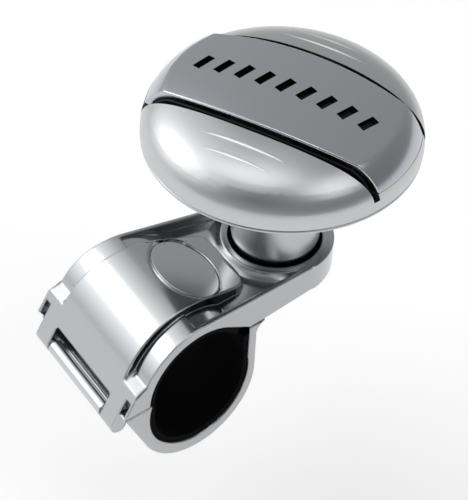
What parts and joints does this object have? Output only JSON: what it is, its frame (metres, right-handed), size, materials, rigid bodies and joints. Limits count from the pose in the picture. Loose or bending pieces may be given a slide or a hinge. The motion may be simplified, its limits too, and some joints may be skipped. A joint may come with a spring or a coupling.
{
  "type": "steering wheel spinner knob",
  "caption": "Knob on ball bearings over a plated arm, with a hinged rubber-lined clamp that closes round a steering wheel's rim by a socket screw.",
  "frame": {"origin": "centre of the clamp's upper round opening, midway along the bore", "axes": "+Y along the bore of the clamp, +Z along the knob's axis away from the clamp, +X from the clamp to the knob"},
  "size_m": [0.0936, 0.07, 0.0917],
  "materials": {
    "chrome_arm": "bright chrome plating on a zinc casting",
    "chrome_jaw": "bright chrome plating on a zinc casting",
    "chrome_hinge": "bright plated sheet and pin",
    "satin_shell": "satin chrome plating on plastic",
    "satin_band": "satin chrome plating on plastic, a shade darker",
    "satin_neck": "satin chrome plating on turned steel",
    "base_plastic": "black moulded plastic",
    "pad_rubber": "matte black rubber",
    "seal_rubber": "matte black rubber",
    "oval_steel": "satin plate",
    "bearing_steel": "ground bearing steel",
    "cage_plastic": "natural nylon",
    "screw_steel": "dark zinc plated steel",
    "spindle_steel": "turned steel"
  },
  "bodies": {
    "arm": {"arm_bracket": "chrome_arm", "upper_pad": "pad_rubber", "oval_plate": "oval_steel", "hinge_pin": "chrome_hinge", "spindle": "spindle_steel", "spindle_screw": "screw_steel", "seat_seal": "seal_rubber", "lower_inner_ring": "bearing_steel", "upper_inner_ring": "bearing_steel", "inner_spacer": "spindle_steel", "lock_nut": "screw_steel"},
    "jaw": {"lower_jaw": "chrome_jaw", "lower_pad": "pad_rubber", "hinge_strap": "chrome_hinge", "strap_rivets": "chrome_hinge", "screw_washer": "screw_steel"},
    "screw": {"clamp_screw": "screw_steel"},
    "knob": {"neck_hub": "satin_neck", "lower_outer_ring": "bearing_steel", "upper_outer_ring": "bearing_steel", "outer_spacer": "spindle_steel", "hub_circlip": "screw_steel", "knob_base": "base_plastic", "hub_screws": "screw_steel", "shell_screws": "screw_steel", "knob_shell": "satin_shell", "top_band": "satin_band"},
    "lower_ball_set": {"lower_balls": "bearing_steel", "lower_cage": "cage_plastic"},
    "upper_ball_set": {"upper_balls": "bearing_steel", "upper_cage": "cage_plastic"}
  },
  "joints": [
    {"name": "jaw_hinge", "type": "hinge", "parent": "arm", "child": "jaw", "pos_m": [-0.02351, 0, -0.00465], "axis": [0, 1, 0], "range_deg": [0, 75]},
    {"name": "clamp_screw_turn", "type": "hinge", "parent": "jaw", "child": "screw", "pos_m": [0.0234, 0, 0.01135], "axis": [-0.3228, 0, 0.9465], "continuous": true},
    {"name": "knob_spin", "type": "hinge", "parent": "arm", "child": "knob", "pos_m": [0.033, 0, 0], "axis": [0, 0, 1], "continuous": true},
    {"name": "lower_ball_set_spin", "type": "hinge", "parent": "arm", "child": "lower_ball_set", "pos_m": [0.033, 0, 0], "axis": [0, 0, 1], "continuous": true},
    {"name": "upper_ball_set_spin", "type": "hinge", "parent": "arm", "child": "upper_ball_set", "pos_m": [0.033, 0, 0], "axis": [0, 0, 1], "continuous": true}
  ],
  "couplings": [
    {"joint": "lower_ball_set_spin", "follows": "knob_spin", "ratio": 0.611},
    {"joint": "upper_ball_set_spin", "follows": "knob_spin", "ratio": 0.611}
  ]
}
